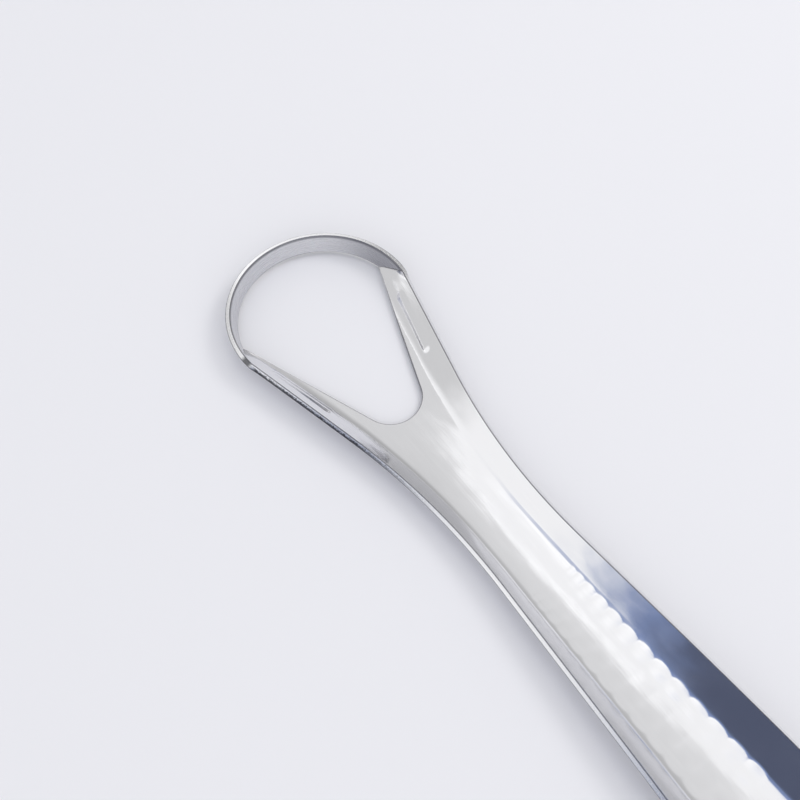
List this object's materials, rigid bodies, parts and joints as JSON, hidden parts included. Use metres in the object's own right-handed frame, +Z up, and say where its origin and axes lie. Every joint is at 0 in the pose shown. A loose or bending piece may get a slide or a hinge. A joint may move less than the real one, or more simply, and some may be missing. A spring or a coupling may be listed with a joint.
{
  "type": "tongue scraper",
  "caption": "Stainless tongue scraper: an upright half-circle scraping band across two arms that merge into a trough-shaped handle with a ridged grip.",
  "frame": {"origin": "on the table under the middle of the tool's length and width, with the tool lying on the floor of its trough", "axes": "+X from the scraping head towards the tail, +Z up, out of the open side of the trough"},
  "size_m": [0.15, 0.0302, 0.0046],
  "materials": {
    "satin_stainless": "satin",
    "polished_stainless": "polished"
  },
  "bodies": {
    "root": {"scraper_band": "satin_stainless", "handle": "polished_stainless"}
  },
  "joints": []
}
